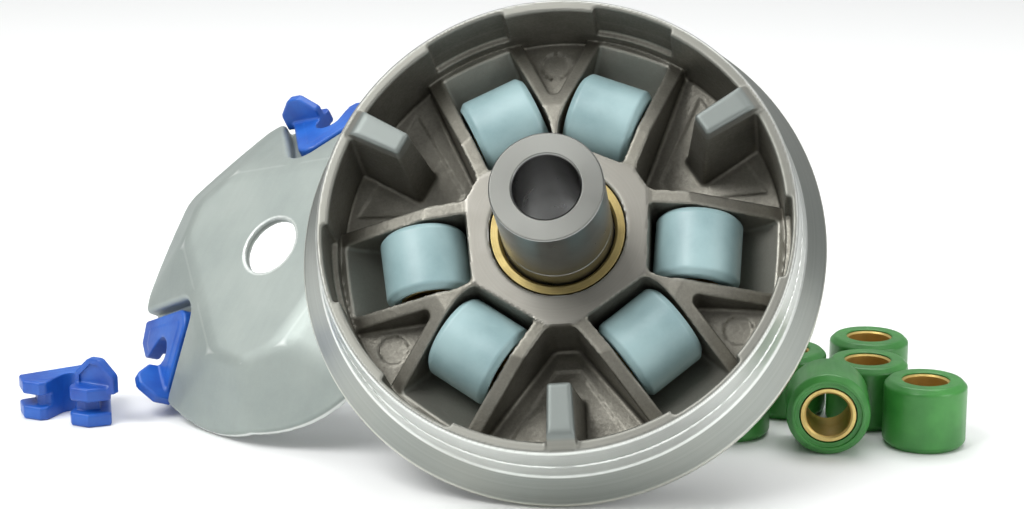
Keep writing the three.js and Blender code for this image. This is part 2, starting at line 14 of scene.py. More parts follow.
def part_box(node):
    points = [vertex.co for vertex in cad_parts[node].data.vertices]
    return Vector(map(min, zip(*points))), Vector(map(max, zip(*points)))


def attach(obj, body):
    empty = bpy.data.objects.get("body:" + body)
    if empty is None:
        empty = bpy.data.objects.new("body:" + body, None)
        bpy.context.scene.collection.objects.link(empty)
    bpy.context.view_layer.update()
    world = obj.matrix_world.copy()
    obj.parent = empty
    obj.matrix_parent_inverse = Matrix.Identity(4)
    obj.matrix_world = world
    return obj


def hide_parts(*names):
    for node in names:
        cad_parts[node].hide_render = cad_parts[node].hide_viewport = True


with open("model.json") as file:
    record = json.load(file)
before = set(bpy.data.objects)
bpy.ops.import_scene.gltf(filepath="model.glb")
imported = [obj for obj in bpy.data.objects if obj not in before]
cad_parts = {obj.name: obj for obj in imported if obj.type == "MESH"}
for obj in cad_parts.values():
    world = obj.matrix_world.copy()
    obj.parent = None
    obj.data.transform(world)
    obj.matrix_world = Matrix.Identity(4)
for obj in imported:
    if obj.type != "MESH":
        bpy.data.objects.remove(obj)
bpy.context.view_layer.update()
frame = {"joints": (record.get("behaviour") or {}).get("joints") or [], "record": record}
MM = 0.001

# ------------------------------------------------------------------ driving dimensions (mm)
SECTOR = math.radians(120)
PULLEY_CELL = 0.42  # size of the meshing cells
PLATE_CELL = 0.42
GUIDE_CELL = 0.3
SHARP_ANGLE = math.radians(48)  # edges sharper than this aren't shaded smooth

BUSH_TOP = -0.3
BUSH_BOTTOM = -24.2
BUSH_RADIUS = 14.5
BUSH_BORE = 12.3
SPACER_RADIUS = 12.0
SPACER_BORE = 7.0
SPACER_TOP = 25.6
SPACER_BOTTOM = -24.0

HUB_CORNER = 21.6
HUB_SHORT_ANGLE = math.radians(8)
HUB_BORE = 14.8
HUB_BACK_Z = -24.6
HUB_BACK_RADIUS = 19.0
LIP_TOP = 6.5
LIP_RADIUS = 51.4
WALL_RADIUS = 48.7
GROOVE_RADIUS = 52.1
GROOVE_Z = -1.0
SHOULDER_RADIUS = 53.1
SHOULDER_Z = -5.7
FLANGE_RADIUS = 57.4
FLANGE_TOP = -11.9
FLANGE_BOTTOM = -14.0
DISH_RIM_Z = -12.5
DISH_HUB_Z = -17.0
RIB_SLOPE_RADIUS = 28.5
RIB_SLOPE = 0.42
POCKET_RADIUS = 50.0
LEDGE_Z = -5.6
POCKET_START = math.radians(11.5)
POCKET_END = math.radians(32.5)
CHANNEL_ANGLE = math.radians(23.5)
CHANNEL_INNER = -9.5
CHANNEL_OUTER = 7.6
INNER_RIB = 2.5
OUTER_RIB = 2.7
STEM = 0.9
V_POCKET_Z = -10.5
SUNKEN = 0.22
SUNKEN_START = 27.0  # the sunken field between two ribs: its narrow end, wide end and half widths
SUNKEN_END = 44.5
SUNKEN_START_HALF = 2.6
SUNKEN_END_HALF = 13.5
MARK_PLACE = 43.0  # round ejector mark on a V pocket's floor
MARK_RADIUS = 3.2
MARK_DEPTH = 0.35
HUB_STEP = 0.35  # how far the faced-off hub stands above the ribs
DRAFT = 0.018  # how much the cast walls lean, per mm of depth
V_TIP_RADIUS = 1.6
RELIEF_DEPTH = 6.0  # how far the wall relief is cut inwards from the wall
STROKE_START = (29.8, -8.7)
STROKE_END = (38.6, -2.4)
RAMP_PATH_RADIUS = 25.0
RAMP_CLEARANCE = 9.8  # from the roller's axis to the ramp
POST_TOP = 9.2
POST_INNER = 36.8
POST_FOOT = 34.0
POST_HALF = 2.9
POST_FOOT_HALF = 4.2
POST_MIDDLE = 48.0  # where the post has its stated width
POST_NARROWING = 0.035  # the post is a little narrower towards the hub
POST_BEVEL = ((47.4, 9.2), (48.4, 8.7))  # outer end of the post's top, then a slope to the lip
POST_OUTER = (50.6, 6.2)
POST_BACK = 50.0  # the post goes into the wall as far as this
POST_ROOT_Z = DISH_RIM_Z - 3.0

ROLLER_RADIUS = 9.43  # as the flats of the CAD roller, so that a lying one touches the ground
ROLLER_LENGTH = 15.3
SHELL_BORE = 6.5
SHELL_LIP = 5.4  # bore of the lip that covers the sleeve at one end
SLEEVE_RADIUS = 6.2
SLEEVE_BORE = 5.0

SHELL_BEVEL = 1.25
SHELL_RING = 0.95  # width and depth of the sunken ring round the sleeve's open end
SHELL_RING_DEPTH = 0.45
SLEEVE_SUNK = 0.5  # how far the sleeve's ends stand back from the shell's
SLEEVE_BEVEL = 0.45

PLATE_RADIUS = 43.7
PLATE_THICKNESS = 2.2
PLATE_HOLE = 7.2
RAMP_FACET = (28.6, math.radians(34), math.radians(21))  # distance, slope, angle off the ridge
SLOT_FACET = (22.5, math.radians(26))
SLOT_AXES = [math.radians(a) for a in (107.7, 227.7, 347.7)]
SLOT_HALF = math.radians(34)
SLOT_APEX = 22.4
SLOT_END = 4.0
LEDGE_WIDTH = 2.6
SEAT_DEPTH = 4.0
PLATE_MOUNT_UP = 14.0  # how far above the plate's middle its mount face is recorded

GUIDE_GROOVE = 2.8
GUIDE_FLANGE = 3.3
GUIDE_CHANNEL = 3.2
GUIDE_CHANNEL_END = 13.0
GUIDE_TIP = 46.0
GUIDE_HALF = 14.0
GUIDE_CORNER = 5.0
GUIDE_MOUTH = 1.2
GUIDE_CORE_SET_BACK = 2.4  # how far the core stops short of the flanges at the leg ends
GUIDE_PULLED_OUT = 3.0  # how far the two fitted guides stand out of their slots
GUIDE_WALL_HEIGHT = 6.4
GUIDE_WALL_HALF = 1.1
GUIDE_WALL_BACK = 4.6
GUIDE_WALL_SIDE = 14.0
GUIDE_WALL_CHAMFER = 3.8
GUIDE_WALL_BORDER = 1.3  # raised border round the wall's sunken outer face
GUIDE_WALL_SUNK = 0.6

# Edge and corner radii (mm)
FILLET = 0.9  # cast floors to walls
POST_POCKET_FILLET = 1.0
RAMP_EDGE = 0.8
RIB_EDGE = 0.4
FIELD_EDGE = 0.5
WALL_CORNER = 0.6
RELIEF_EDGE = 0.45
LIP_EDGE = 0.5
POST_FILLET = 0.8
POST_EDGE = 0.35
SLOT_FOLD = 1.6
RIDGE_FOLD = 1.0
RAMP_FOLD = 1.2
CUP_FILLET = 1.8
SHEET_FILLET = 1.2
SEAT_FILLET = 0.5
SLOT_LIP = 1.5
SHEET_EDGE = 0.5
PLATE_EDGE = 0.6

LOOSE_HEADING = math.radians(-114)
LYING_HEADING = math.radians(84)
SPARE_TURN = 0.7  # each standing spare roller is turned this much further, in radians

CAMERA_FROM_HUB = (-9.71, -499.9, 119.2)
CAMERA_DOWN = math.radians(14)
LENS = 84.4
ROOM_LOW = 0.5  # the room's brightness near the floor, overhead it is 1
ROOM_STRENGTH = 0.7
# Lamps: place and aim (m), size (m), power (W)
LAMPS = {
    "key": ((-0.5, -0.35, 0.8), (0, 0, 0.04), (0.6, 0.5), 8),
    "fill": ((0.75, -0.5, 0.35), (0, 0, 0.04), (0.4, 0.5), 2.2),
    "top": ((0.1, 0.25, 0.95), (0, 0, 0.03), (0.9, 0.5), 5),
}


# ------------------------------------------------------------------ signed distance helpers
def meet(a, b, radius):
    """Where both shapes are, with the outside edge between them rounded."""
    beyond = np.hypot(np.maximum(radius + a, 0), np.maximum(radius + b, 0))
    return np.minimum(-radius, np.maximum(a, b)) + beyond


def join(a, b, radius):
    """Where either shape is, with the inside corner between them filleted."""
    beyond = np.hypot(np.maximum(radius - a, 0), np.maximum(radius - b, 0))
    return np.maximum(radius, np.minimum(a, b)) - beyond


def meet_all(shapes, radius):
    result = shapes[0]
    for shape in shapes[1:]:
        result = meet(result, shape, radius)
    return result


def polygon_distance(outline, r, z):
    """Signed distance to a closed outline in the (r, z) plane."""
    nearest = np.full(r.shape, 1e9)
    inside = np.zeros(r.shape, bool)
    for (r0, z0), (r1, z1) in zip(outline, outline[1:] + outline[:1]):
        dr, dz = r1 - r0, z1 - z0
        share = np.clip(((r - r0) * dr + (z - z0) * dz) / (dr * dr + dz * dz), 0, 1)
        nearest = np.minimum(nearest, (r - r0 - share * dr) ** 2 + (z - z0 - share * dz) ** 2)
        crosses = (z0 > z) != (z1 > z)
        if dz:
            inside ^= crosses & (r < r0 + (z - z0) / dz * dr)
    distance = np.sqrt(nearest)
    return np.where(inside, -distance, distance)


def wedge_distance(x, y, half_angle, tip, radius):
    """Signed distance to a wedge that opens towards +x, its tip rounded; tip is the sharp tip's x."""
    centre = tip + radius / math.sin(half_angle)
    y = np.abs(y)
    across = -(x - centre) * math.sin(half_angle) + y * math.cos(half_angle)
    along = (x - centre) * math.cos(half_angle) + y * math.sin(half_angle)
    return np.where(along > 0, across, np.hypot(x - centre, y)) - radius


# ------------------------------------------------------------------ meshing a signed distance
BLOCK = 8
CHUNK = 400000
PULL_TO_MIDDLE = 0.03  # keeps a vertex near its edge crossings where the planes leave it free
# The four cells round a grid edge, as steps along the two other axes.
RING = ((0, 0), (-1, 0), (-1, -1), (0, -1))


def evaluate(field, points):
    parts = [field(points[i:i + CHUNK]) for i in range(0, len(points), CHUNK)]
    return np.concatenate(parts)


def sample_grid(field, low, counts, cell):
    """Field values on a grid, worked out exactly only in the blocks near the surface."""
    blocks = -(-counts // BLOCK)
    centres = np.stack(np.meshgrid(*[np.arange(n) for n in blocks], indexing="ij"), -1).reshape(-1, 3)
    centres = low + (centres * BLOCK + (BLOCK - 1) / 2) * cell
    coarse = evaluate(field, centres).reshape(blocks)
    spread = np.ones((BLOCK, BLOCK, BLOCK))
    trim = tuple(slice(0, n) for n in counts)
    values = np.kron(coarse, spread)[trim]
    near = np.kron(np.abs(coarse) < BLOCK * cell * 1.25, spread)[trim] > 0
    index = np.argwhere(near)
    values[near] = evaluate(field, low + index * cell)
    return values


def gradient(field, points, step):
    middle = evaluate(field, points)
    slopes = [evaluate(field, points + step * unit) - middle for unit in np.eye(3)]
    normal = np.stack(slopes, -1)
    return normal / np.maximum(np.linalg.norm(normal, axis=1, keepdims=True), 1e-12)


def contour(field, low, high, cell):
    """A closed quad mesh of field = 0, one vertex in each cell, placed so that edges stay sharp."""
    low = np.array(low, float)
    counts = np.ceil((np.array(high, float) - low) / cell).astype(int) + 1
    values = sample_grid(field, low, counts, cell)
    strides = np.array([counts[1] * counts[2], counts[2], 1])
    ends, normals, rings = [], [], []
    for axis in range(3):
        first = np.take(values, range(counts[axis] - 1), axis)
        second = np.take(values, range(1, counts[axis]), axis)
        index = np.argwhere((first < 0) != (second < 0))
        a = first[tuple(index.T)]
        b = second[tuple(index.T)]
        point = low + index * cell
        point[:, axis] += cell * a / (a - b)
        others = [i for i in range(3) if i != axis]
        ring = []
        for step in RING:
            shifted = index.copy()
            shifted[:, others[0]] += step[0]
            shifted[:, others[1]] += step[1]
            ring.append(shifted @ strides)
        ring = np.stack(ring, -1)
        flip = (a < 0) != (axis == 1)
        ring[~flip] = ring[~flip][:, ::-1]
        ends.append(point)
        normals.append(gradient(field, point, cell * 0.02))
        rings.append(ring)
    point, normal, ring = np.concatenate(ends), np.concatenate(normals), np.concatenate(rings)
    cells, quads = np.unique(ring, return_inverse=True)
    quads = quads.reshape(ring.shape)
    vertices = fit_vertices(point, normal, quads, len(cells))
    corner = low + np.stack(np.unravel_index(cells, counts), -1) * cell
    return np.clip(vertices, corner - 0.1 * cell, corner + 1.1 * cell), quads


def fit_vertices(point, normal, quads, count):
    """The point of each cell that lies best on the planes through its edge crossings."""
    owner = quads.reshape(-1)
    p = np.repeat(point, 4, axis=0)
    n = np.repeat(normal, 4, axis=0)

    def total(weights):
        return np.bincount(owner, weights, count)

    number = total(np.ones(len(owner)))
    middle = np.stack([total(p[:, i]) for i in range(3)], -1) / number[:, None]
    offset = np.einsum("ij,ij->i", n, p - middle[owner])
    matrix = np.empty((count, 3, 3))
    side = np.empty((count, 3))
    for i in range(3):
        side[:, i] = total(n[:, i] * offset) / number
        for j in range(3):
            matrix[:, i, j] = total(n[:, i] * n[:, j]) / number
    matrix += PULL_TO_MIDDLE * np.eye(3)
    return middle + np.linalg.solve(matrix, side[..., None])[..., 0]


def new_object(name, vertices, faces):
    mesh = bpy.data.meshes.new(name)
    mesh.from_pydata((np.asarray(vertices) * MM).tolist(), [], np.asarray(faces).tolist())
    mesh.update()
    mesh.shade_smooth()
    mesh.set_sharp_from_angle(angle=SHARP_ANGLE)
    piece = bpy.data.objects.new(name, mesh)
    bpy.context.scene.collection.objects.link(piece)
    return piece


# ------------------------------------------------------------------ turned pieces
def softened(outline, radius, steps=4):
    """The closed outline with its corners rounded. A corner's third value is a radius of its own."""
    result = []
    count = len(outline)
    for i, corner in enumerate(outline):
        here = np.array(corner[:2], float)
        before = np.array(outline[i - 1][:2], float) - here
        after = np.array(outline[(i + 1) % count][:2], float) - here
        wanted = corner[2] if len(corner) > 2 else radius
        room = 0.45 * min(np.linalg.norm(before), np.linalg.norm(after))
        before /= np.linalg.norm(before)
        after /= np.linalg.norm(after)
        half = math.acos(max(-1.0, min(1.0, float(before @ after)))) / 2
        back = min(wanted / math.tan(half), room)
        start, end = here + before * back, here + after * back
        result.append(tuple(start + before * min(0.06, 0.1 * back)))  # keeps the flat beside it flat
        for k in range(steps + 1):
            t = k / steps
            result.append(tuple((1 - t) ** 2 * start + 2 * t * (1 - t) * here + t * t * end))
        result.append(tuple(end + after * min(0.06, 0.1 * back)))
    return result


def lathe(name, outline, segments):
    """The closed (r, z) outline turned about Z."""
    count = len(outline)
    angles = np.arange(segments) * 2 * math.pi / segments
    r = np.array([p[0] for p in outline])
    z = np.array([p[1] for p in outline])
    x, y = np.outer(np.cos(angles), r), np.outer(np.sin(angles), r)
    vertices = np.stack([x, y, np.broadcast_to(z, x.shape)], -1).reshape(-1, 3)
    ring, step = np.meshgrid(np.arange(segments), np.arange(count), indexing="ij")
    next_ring, next_step = (ring + 1) % segments, (step + 1) % count
    faces = np.stack([ring * count + step, next_ring * count + step,
                      next_ring * count + next_step, ring * count + next_step], -1).reshape(-1, 4)
    area = np.sum(r * np.roll(z, -1) - np.roll(r, -1) * z)
    return new_object(name, vertices, faces if area > 0 else faces[:, ::-1])


def roller_shell(name):
    """Nylon shell: open at the lower end, with a thin lip over the sleeve at the upper end."""
    half = ROLLER_LENGTH / 2
    ring, floor = SHELL_BORE + SHELL_RING, -half + SHELL_RING_DEPTH
    rim = ROLLER_RADIUS - SHELL_BEVEL
    outline = [
        (SHELL_BORE, floor, 0.1), (ring, floor, 0.1), (ring + 0.15, -half, 0.12), (rim, -half, 1.1),
        (ROLLER_RADIUS, -half + SHELL_BEVEL, 1.1), (ROLLER_RADIUS, half - SHELL_BEVEL, 1.1),
        (rim, half, 1.1), (SHELL_LIP + 0.3, half, 0.3), (SHELL_LIP, half - 0.2, 0.1),
        (SHELL_LIP, half - 0.44, 0.05), (SHELL_BORE, half - 0.44, 0.05),
    ]
    return lathe(name, softened(outline, 0.1, 5), 144)


def roller_sleeve(name):
    half = ROLLER_LENGTH / 2 - SLEEVE_SUNK
    bevel = SLEEVE_BEVEL
    outline = [
        (SLEEVE_BORE, -half + bevel), (SLEEVE_BORE + bevel, -half), (SLEEVE_RADIUS, -half),
        (SLEEVE_RADIUS, half), (SLEEVE_BORE + bevel, half), (SLEEVE_BORE, half - bevel),
    ]
    return lathe(name, softened(outline, 0.08, 3), 120)


def spacer(name):
    bevel, bore_bevel = 0.3, 0.5
    line, depth = 4.2, 0.12  # fine line where the ground seat begins
    outline = [
        (SPACER_BORE, SPACER_BOTTOM + bore_bevel), (SPACER_BORE + bore_bevel, SPACER_BOTTOM),
        (SPACER_RADIUS - bevel, SPACER_BOTTOM), (SPACER_RADIUS, SPACER_BOTTOM + bevel),
        (SPACER_RADIUS, line), (SPACER_RADIUS - depth, line + 0.15),
        (SPACER_RADIUS - depth, line + 0.5), (SPACER_RADIUS - 0.03, line + 0.65),
        (SPACER_RADIUS - 0.03, SPACER_TOP - bevel), (SPACER_RADIUS - bevel - 0.03, SPACER_TOP),
        (SPACER_BORE + bore_bevel, SPACER_TOP), (SPACER_BORE, SPACER_TOP - bore_bevel),
    ]
    return lathe(name, softened(outline, 0.12, 3), 192)


def bush(name):
    outline = [
        (BUSH_BORE, BUSH_BOTTOM + 0.5), (BUSH_BORE + 0.5, BUSH_BOTTOM), (BUSH_RADIUS, BUSH_BOTTOM),
        (BUSH_RADIUS, BUSH_TOP), (BUSH_BORE + 0.6, BUSH_TOP), (BUSH_BORE, BUSH_TOP - 0.6),
    ]
    return lathe(name, softened(outline, 0.1, 3), 160)


# ------------------------------------------------------------------ pulley half
SIDE_REACH = math.hypot(STROKE_END[0] - STROKE_START[0], STROKE_END[1] - STROKE_START[1])
HUB_LONG_SIDE = HUB_CORNER * math.cos((SECTOR / 2 - HUB_SHORT_ANGLE) / 2)
HUB_SHORT_SIDE = HUB_CORNER * math.cos(HUB_SHORT_ANGLE)


def folded(x, y, axis):
    """Angle from the nearest of three axes 120 degrees apart, the same on both sides of it."""
    turn = np.arctan2(y, x) - axis
    return np.abs((turn + SECTOR / 2) % SECTOR - SECTOR / 2)


def turned_outline():
    """(r, z) outline of the pulley half before it is hollowed out."""
    return [
        (HUB_BORE, HUB_BACK_Z), (HUB_BACK_RADIUS - 0.5, HUB_BACK_Z), (HUB_BACK_RADIUS, HUB_BACK_Z + 0.35),
        (FLANGE_RADIUS - 0.4, FLANGE_BOTTOM - 0.1), (FLANGE_RADIUS, FLANGE_BOTTOM + 0.3),
        (FLANGE_RADIUS, FLANGE_TOP - 0.3), (FLANGE_RADIUS - 0.3, FLANGE_TOP),
        (SHOULDER_RADIUS, SHOULDER_Z), (SHOULDER_RADIUS - 0.3, SHOULDER_Z + 0.3),
        (GROOVE_RADIUS, GROOVE_Z - 0.3), (GROOVE_RADIUS - 0.5, GROOVE_Z - 0.1),
        (GROOVE_RADIUS - 0.5, GROOVE_Z + 0.2), (GROOVE_RADIUS - 0.05, GROOVE_Z + 0.4),
        (LIP_RADIUS, LIP_TOP - 0.5), (LIP_RADIUS - 0.5, LIP_TOP), (HUB_BORE, LIP_TOP),
    ]


def above_ramp(along, z):
    """The space over the hollow ramp that a roller rests on at both ends of its stroke."""
    run, rise = STROKE_END[0] - STROKE_START[0], STROKE_END[1] - STROKE_START[1]
    drop = math.sqrt(RAMP_PATH_RADIUS ** 2 - (SIDE_REACH / 2) ** 2)
    centre = (STROKE_START[0] + STROKE_END[0]) / 2 - drop * rise / SIDE_REACH
    height = (STROKE_START[1] + STROKE_END[1]) / 2 + drop * run / SIDE_REACH
    radius = RAMP_PATH_RADIUS + RAMP_CLEARANCE
    bowl = np.hypot(along - centre, z - height) - radius
    flat = np.maximum(along - centre, height - radius - z)
    return join(np.minimum(bowl, flat), LEDGE_Z - z, RAMP_EDGE)


def sector_places(x, y):
    """A point folded into one sector: from the V rib's axis, from the post's and from the channel's."""
    r = np.hypot(x, y)
    angle = folded(x, y, math.pi / 2)
    rib = r * np.cos(angle), r * np.sin(angle)
    post_place = r * np.cos(SECTOR / 2 - angle), r * np.sin(SECTOR / 2 - angle)
    channel = r * np.cos(angle - CHANNEL_ANGLE), r * np.sin(angle - CHANNEL_ANGLE)
    return r, rib, post_place, channel


def hollow(x, y, z):
    """Everything cut or cast out of the turned blank, except the three posts left standing in it."""
    r, (u, v), (p, q), (along, across) = sector_places(x, y)
    lean = DRAFT * (LIP_TOP - z)
    hub_tilt = (SECTOR / 2 - HUB_SHORT_ANGLE) / 2
    hub_side = HUB_LONG_SIDE - u * math.cos(hub_tilt) - v * math.sin(hub_tilt)
    channel = meet_all([CHANNEL_INNER + lean - across, across - CHANNEL_OUTER + lean,
                        STEM / 2 + lean - v, hub_side + lean, above_ramp(along, z)], FILLET)
    apex = (INNER_RIB - CHANNEL_INNER) / math.sin(CHANNEL_ANGLE)
    v_walls = wedge_distance(u, v, CHANNEL_ANGLE, apex, V_TIP_RADIUS) + lean
    v_pocket = meet(v_walls, V_POCKET_Z - z, FILLET)
    mark = meet(np.hypot(u - MARK_PLACE, v) - MARK_RADIUS, V_POCKET_Z - MARK_DEPTH - z, 0.1)
    dish_slope = (DISH_RIM_Z - DISH_HUB_Z) / (WALL_RADIUS - HUB_CORNER)
    dish = DISH_HUB_Z + dish_slope * (r - HUB_CORNER) - z
    post_pocket = meet_all([CHANNEL_OUTER + OUTER_RIB + lean - across, HUB_SHORT_SIDE + lean - p, dish],
                           POST_POCKET_FILLET)
    spread = math.atan2(SUNKEN_END_HALF - SUNKEN_START_HALF, SUNKEN_END - SUNKEN_START)
    sunken_side = (q - SUNKEN_START_HALF) * math.cos(spread) - (p - SUNKEN_START) * math.sin(spread)
    sunken = meet_all([SUNKEN_START - p, p - SUNKEN_END, sunken_side, dish - SUNKEN], 0.3)
    over = np.minimum(-z, -(z + RIB_SLOPE * (r - RIB_SLOPE_RADIUS)) / math.hypot(1, RIB_SLOPE))
    off_hub = np.maximum(-hub_side, p - HUB_SHORT_SIDE)
    inside = join(over, meet(-off_hub, -z - HUB_STEP, 0.1), 0.12)
    for shape in (channel, v_pocket, post_pocket):
        inside = join(inside, shape, RIB_EDGE)
    inside = join(join(inside, sunken, FIELD_EDGE), mark, 0.1)
    inside = meet(inside, r - WALL_RADIUS + lean * 0.5, WALL_CORNER)
    relief = meet_all([r - POCKET_RADIUS, v * math.cos(POCKET_END) - u * math.sin(POCKET_END),
                       u * math.sin(POCKET_START) - v * math.cos(POCKET_START),
                       LEDGE_Z - z, WALL_RADIUS - RELIEF_DEPTH - r], FILLET)
    return join(inside, relief, RELIEF_EDGE), p, q


def under_line(start, end, p, z):
    """Signed height over the line through two (p, z) points."""
    run, rise = end[0] - start[0], end[1] - start[1]
    return ((z - start[1]) * run - (p - start[0]) * rise) / math.hypot(run, rise)


def post(p, q, z):
    share = (z - DISH_HUB_Z) / (POST_TOP - DISH_HUB_Z)
    half = POST_FOOT_HALF + share * (POST_HALF - POST_FOOT_HALF) + POST_NARROWING * (p - POST_MIDDLE)
    inner = POST_FOOT + share * (POST_INNER - POST_FOOT)
    sides = meet_all([q - half, inner - p, z - POST_TOP], POST_FILLET)
    bevel = under_line(POST_BEVEL[0], POST_BEVEL[1], p, z)
    slope = under_line(POST_BEVEL[1], POST_OUTER, p, z)
    foot = POST_ROOT_Z - z
    return meet_all([sides, bevel, slope, p - POST_BACK, foot], POST_EDGE)


def pulley_field(points):
    x, y, z = points.T
    blank = polygon_distance(turned_outline(), np.hypot(x, y), z)
    cut, p, q = hollow(x, y, z)
    return join(meet(blank, -cut, LIP_EDGE), post(p, q, z), POST_FILLET)


def add_wear_highlight_and_shade_masks(piece, field, reach=1.0):
    """Stores how much each vertex stands out ("edge") or lies in a corner ("crevice"): masks for edge
    wear, painted highlights on edges and painted shade in corners.
    """
    mesh = piece.data
    count = len(mesh.vertices)
    place, normal = np.empty(count * 3), np.empty(count * 3, np.float32)
    mesh.vertices.foreach_get("co", place)
    mesh.vertices.foreach_get("normal", normal)
    place = place.reshape(-1, 3) / MM
    normal = normal.reshape(-1, 3)
    edge = 1 + evaluate(field, place - normal * reach) / reach
    crevice = 1 - evaluate(field, place + normal * 3 * reach) / (3 * reach)
    store(piece, "edge", edge)
    store(piece, "crevice", crevice)


def store(piece, name, values):
    attribute = piece.data.attributes.new(name, "FLOAT", "POINT")
    attribute.data.foreach_set("value", np.clip(values, 0, 1).astype(np.float32))


def add_machining(piece):
    """Marks the turned outside, the lip, the milled hub and post tops, and the channels' ramps."""
    x, y, z = own_coordinates(piece).T
    r, _, _, (_, across) = sector_places(x, y)
    depth = np.abs(polygon_distance(turned_outline(), r, z))
    store(piece, "turned", (0.3 - depth) / 0.2)
    store(piece, "lip", np.minimum((z - LIP_TOP + 0.9) / 0.5, (LIP_RADIUS - 0.3 - r) / 0.3))
    on_hub = (0.2 - np.abs(z)) / 0.15
    on_post = (z - LIP_TOP - 1.5) / 0.5
    store(piece, "milled", np.maximum(np.minimum(on_hub, (HUB_CORNER + 1 - r) / 0.5), on_post))
    in_channel = np.minimum(across - CHANNEL_INNER, CHANNEL_OUTER - across) / 0.6
    outward = np.minimum((r - 33) / 4, (WALL_RADIUS - 0.3 - r) / 0.4)
    store(piece, "ramp", np.minimum(in_channel, outward))


def pulley_half(name):
    reach = FLANGE_RADIUS + 1
    low, high = (-reach, -reach, HUB_BACK_Z - 1), (reach, reach, POST_TOP + 1)
    vertices, faces = contour(pulley_field, low, high, PULLEY_CELL)
    piece = new_object(name, vertices, faces)
    add_wear_highlight_and_shade_masks(piece, pulley_field)
    add_machining(piece)
    return piece


# ------------------------------------------------------------------ ramp plate and slide guides
def slot_plane(x, z):
    """Distance along the slot facet and height over it, from a point in the slot axis's plane."""
    distance, slope = SLOT_FACET
    cos, sin = math.cos(slope), math.sin(slope)
    return distance + (x - distance) * cos - z * sin, (x - distance) * sin + z * cos


def plate_dome(r, angle, z):
    """Signed height over the plate's outer face: flat top, slot facets and two ramp facets a ridge."""
    distance, slope, offset = RAMP_FACET
    dome = meet(z, slot_plane(r * np.cos(angle), z)[1], SLOT_FOLD)
    ridge = SECTOR / 2
    sides = []
    for facet in (ridge - offset, ridge + offset):
        over = (r * np.cos(angle - facet) - distance) * math.sin(slope) + z * math.cos(slope)
        sides.append(over)
    return meet(dome, meet(sides[0], sides[1], RIDGE_FOLD), RAMP_FOLD)


def plate_field(points):
    """A domed sheet whose slots are pressed down into a ledge that the guide's groove fits."""
    x, y, z = points.T
    r = np.hypot(x, y)
    angle = folded(x, y, SLOT_AXES[0])
    dome = plate_dome(r, angle, z)
    along, height = slot_plane(r * np.cos(angle), z)
    slot = wedge_distance(along, r * np.sin(angle), SLOT_HALF, SLOT_APEX, SLOT_END)
    cup = meet(slot - PLATE_THICKNESS, -SEAT_DEPTH - PLATE_THICKNESS - height, CUP_FILLET)
    sheet = np.maximum(dome, join(-dome - PLATE_THICKNESS, cup, SHEET_FILLET))
    seat = meet(slot, -SEAT_DEPTH - height, SEAT_FILLET)
    sheet = meet(sheet, -seat, SLOT_LIP)
    sheet = meet(sheet, -slot - LEDGE_WIDTH, SHEET_EDGE)
    sheet = meet(sheet, r - PLATE_RADIUS, PLATE_EDGE)
    return meet(sheet, PLATE_HOLE - r, SHEET_EDGE)


def ramp_plate(name):
    reach = PLATE_RADIUS + 1
    vertices, faces = contour(plate_field, (-reach, -reach, -16), (reach, reach, 1), PLATE_CELL)
    piece = new_object(name, vertices, faces)
    add_wear_highlight_and_shade_masks(piece, plate_field)
    return piece


def guide_front(set_back):
    """(x, y) outline that cuts the guide's legs off."""
    tip, half = GUIDE_TIP - set_back, GUIDE_HALF - set_back
    side = [
        (0, half), (tip - GUIDE_CORNER, half), (tip, half - GUIDE_CORNER),
        (tip, GUIDE_CHANNEL + GUIDE_MOUTH), (tip - GUIDE_MOUTH, GUIDE_CHANNEL),
    ]
    return side + [(x, -y) for x, y in reversed(side)]


def guide_wall(x, y, z):
    """The wall across one leg, its outer face hollowed a little inside a raised border."""
    bottom = GUIDE_GROOVE / 2 + GUIDE_FLANGE / 2
    top = GUIDE_GROOVE / 2 + GUIDE_FLANGE + GUIDE_WALL_HEIGHT
    middle = GUIDE_TIP - GUIDE_WALL_BACK
    slant = math.sqrt(0.5)
    outline = meet_all([
        GUIDE_CHANNEL - y, y - GUIDE_WALL_SIDE, z - top,
        (GUIDE_CHANNEL + GUIDE_WALL_CHAMFER - y + z - top) * slant,
        (y - GUIDE_WALL_SIDE + GUIDE_WALL_CHAMFER + z - top) * slant,
    ], 0.5)
    recess = np.maximum(outline + GUIDE_WALL_BORDER, middle + GUIDE_WALL_HALF - GUIDE_WALL_SUNK - x)
    wall = meet_all([outline, np.abs(x - middle) - GUIDE_WALL_HALF, bottom - z], 0.4)
    return meet(wall, -recess, 0.15)


def guide_field(points):
    x, y, z = points.T
    front = polygon_distance(guide_front(0), x, y)
    core_front = polygon_distance(guide_front(GUIDE_CORE_SET_BACK), x, y)
    inner, outer = GUIDE_GROOVE / 2, GUIDE_GROOVE / 2 + GUIDE_FLANGE
    slot = wedge_distance(x, y, SLOT_HALF, SLOT_APEX, SLOT_END)
    core = meet_all([slot + LEDGE_WIDTH + 0.3, core_front, np.abs(z) - outer], 0.5)
    flanges = meet_all([slot + 0.3, front, inner - np.abs(z), np.abs(z) - outer], 0.7)
    body = join(join(core, flanges, 0.4), guide_wall(x, y, z), 0.8)
    mouth = SLOT_APEX + GUIDE_CHANNEL_END + GUIDE_CHANNEL
    channel = np.where(x > mouth, np.abs(y), np.hypot(x - mouth, y)) - GUIDE_CHANNEL
    return meet(body, -channel, 0.4)


def guide_mesh(name):
    outer = GUIDE_GROOVE / 2 + GUIDE_FLANGE
    top = outer + GUIDE_WALL_HEIGHT
    low, high = (SLOT_APEX, -GUIDE_HALF - 1, -outer - 1), (GUIDE_TIP + 1, GUIDE_HALF + 1, top + 1)
    vertices, faces = contour(guide_field, low, high, GUIDE_CELL)
    vertices[:, 2] = np.clip(vertices[:, 2], -outer, top)
    piece = new_object(name, vertices, faces)
    add_wear_highlight_and_shade_masks(piece, guide_field, 0.8)
    return piece


